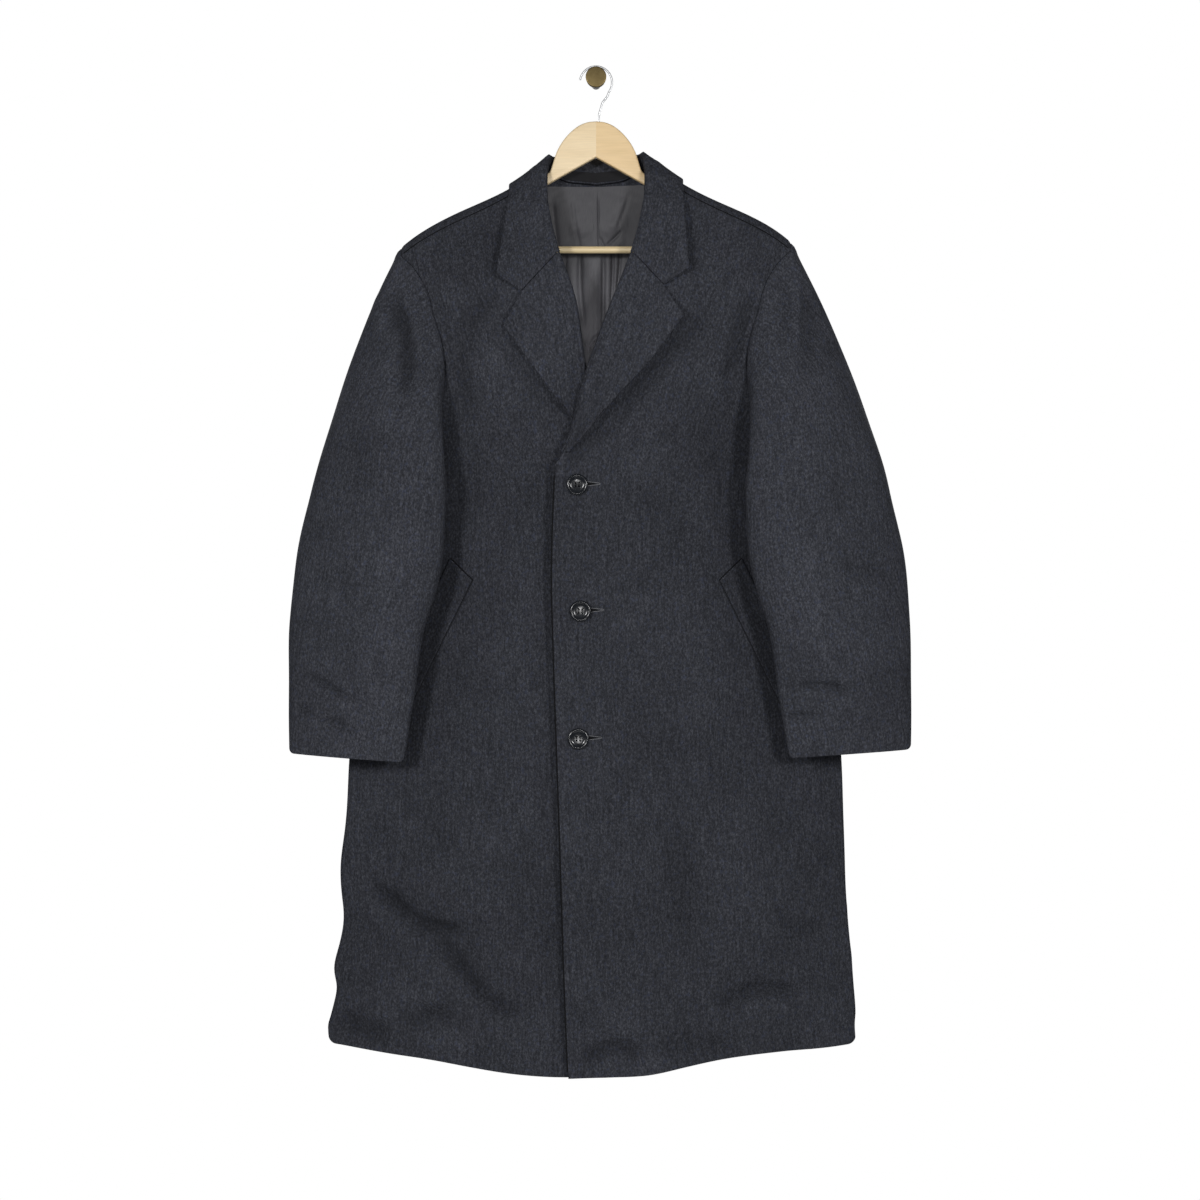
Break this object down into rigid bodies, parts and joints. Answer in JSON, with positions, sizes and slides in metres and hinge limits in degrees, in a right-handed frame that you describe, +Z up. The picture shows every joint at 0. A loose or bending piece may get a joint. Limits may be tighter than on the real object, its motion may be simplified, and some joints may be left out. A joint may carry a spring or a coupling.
{
  "type": "long overcoat on a hanger and wall peg",
  "caption": "Long single-breasted wool overcoat with notched lapels, slanted welt pockets and plain cuffs, buttoned up on a wooden hanger that hooks over a round wall peg.",
  "frame": {"origin": "centre of the wall face of the peg that the hanger hooks over", "axes": "+X to the wearer's left, +Y into the wall, +Z up"},
  "size_m": [0.7755, 0.129, 1.2572],
  "materials": {
    "charcoal_wool": "dense brushed wool with a soft nap",
    "grey_satin": "satin weave",
    "black_label": "woven tape",
    "dark_button": "polished",
    "pale_birch": "clear varnish",
    "birch_bar": "clear varnish",
    "chromed_wire": "polished",
    "aged_brass": "aged satin"
  },
  "bodies": {
    "root": {"front_left": "charcoal_wool", "front_right": "charcoal_wool", "back_left": "charcoal_wool", "back_right": "charcoal_wool", "top_sleeve_left": "charcoal_wool", "top_sleeve_right": "charcoal_wool", "under_sleeve_left": "charcoal_wool", "under_sleeve_right": "charcoal_wool", "collar": "charcoal_wool", "lapel_left": "charcoal_wool", "lapel_right": "charcoal_wool", "welt_left": "charcoal_wool", "welt_right": "charcoal_wool", "back_lining": "grey_satin", "neck_label": "black_label", "button_top": "dark_button", "button_middle": "dark_button", "button_lower": "dark_button", "hanger_arm_left": "pale_birch", "hanger_arm_right": "pale_birch", "hanger_bar": "birch_bar", "hanger_hook": "chromed_wire", "peg_stem": "aged_brass", "peg_cap": "aged_brass"}
  },
  "joints": []
}
